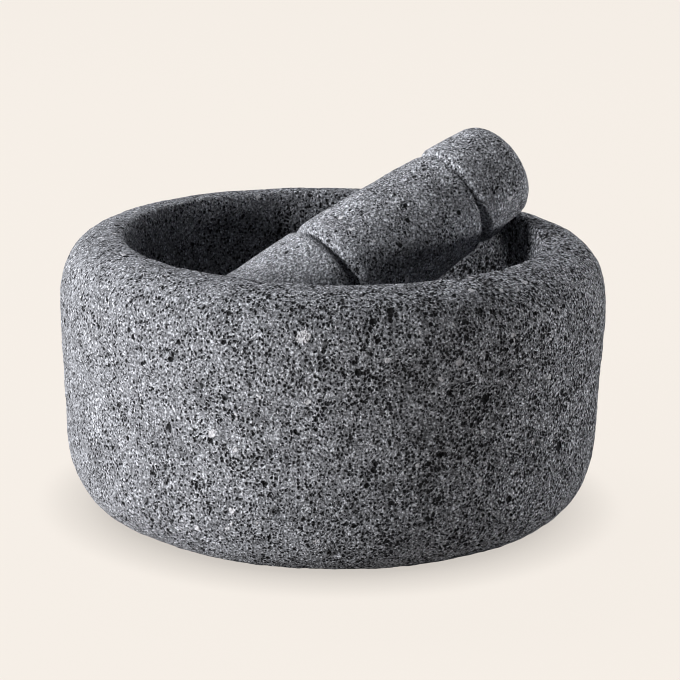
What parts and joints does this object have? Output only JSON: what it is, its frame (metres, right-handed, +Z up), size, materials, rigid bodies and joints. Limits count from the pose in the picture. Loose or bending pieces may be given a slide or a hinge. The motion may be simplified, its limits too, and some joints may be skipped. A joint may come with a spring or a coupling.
{
  "type": "molcajete",
  "caption": "Legless drum-shaped stone mortar with a deep round bowl and a thick rounded rim, and a notched stone pestle leaning in it.",
  "frame": {"origin": "centre of the mortar's flat base, on the surface it stands on", "axes": "+Z up along the bowl's axis, +X towards the side of the rim that the pestle's knob leans on, +Y to the left of a person who looks along +X"},
  "size_m": [0.2032, 0.2032, 0.1375],
  "materials": {
    "mortar_stone": "rough pecked vesicular basalt, dense dark pores and pale grains, dry",
    "pestle_stone": "finer ground vesicular basalt, small dark pores, paler dusty cut edges, dry"
  },
  "bodies": {
    "mortar": {"mortar": "mortar_stone"},
    "pestle": {"pestle": "pestle_stone"}
  },
  "joints": [
    {"name": "pestle_lift", "type": "slide", "parent": "mortar", "child": "pestle", "axis": [0, 0, 1], "range_m": [0, 0.12]}
  ]
}
